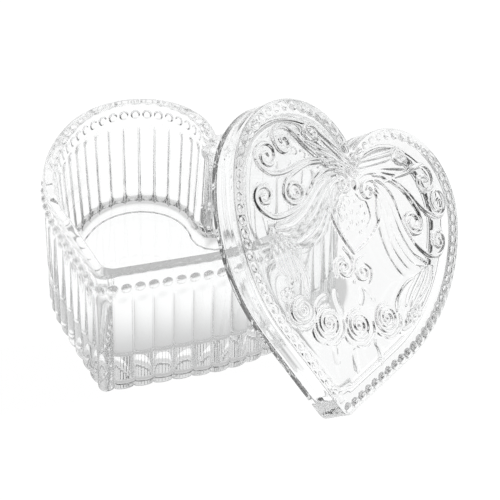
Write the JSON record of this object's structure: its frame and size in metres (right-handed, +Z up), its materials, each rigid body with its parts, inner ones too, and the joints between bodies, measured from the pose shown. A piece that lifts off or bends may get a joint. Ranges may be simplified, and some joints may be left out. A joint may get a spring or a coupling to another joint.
{
  "type": "heart-shaped trinket box",
  "caption": "Heart-shaped clear pressed-glass trinket box: a ribbed, beaded cup and a lift-off lid with moulded relief, shown with the lid off and leaning on the cup.",
  "frame": {"origin": "on the cup's flat underside, midway between the centres of the heart's two lobes", "axes": "+Z up out of the open cup, -Y towards the heart's tip, +X towards the lobe that the lid leans on"},
  "size_m": [0.1643, 0.1329, 0.0987],
  "materials": {
    "cup_glass": "clear polished pressed glass",
    "lid_glass": "clear polished pressed glass"
  },
  "bodies": {
    "cup": {"cup": "cup_glass"},
    "lid": {"lid": "lid_glass"}
  },
  "joints": [
    {"name": "lid_lift", "type": "slide", "parent": "cup", "child": "lid", "axis": [0, 0, 1], "range_m": [0, 0.12]}
  ]
}
